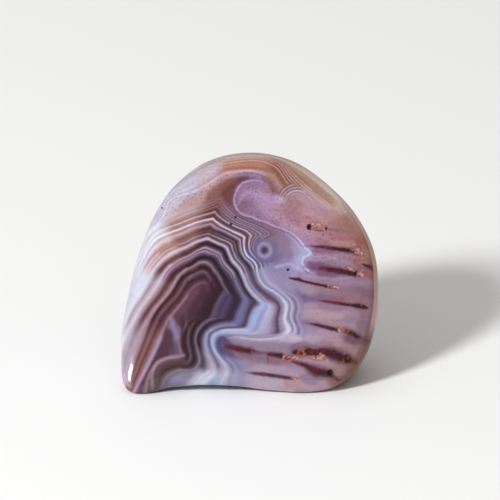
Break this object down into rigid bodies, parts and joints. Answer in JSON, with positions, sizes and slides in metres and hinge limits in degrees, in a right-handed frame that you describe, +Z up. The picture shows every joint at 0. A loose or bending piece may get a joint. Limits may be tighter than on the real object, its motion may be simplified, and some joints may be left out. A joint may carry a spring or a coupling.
{
  "type": "banded agate",
  "caption": "Tumbled, polished piece of banded agate: a flat-faced pebble that leans back and stands on its worn underside.",
  "frame": {"origin": "middle of the stone's box, on the plane it rests on", "axes": "+X along its widest extent, +Z up, broad polished face towards -Y"},
  "size_m": [0.0302, 0.0198, 0.0239],
  "materials": {
    "agate": "polished, slightly translucent, finely banded"
  },
  "bodies": {
    "root": {"agate": "agate"}
  },
  "joints": []
}
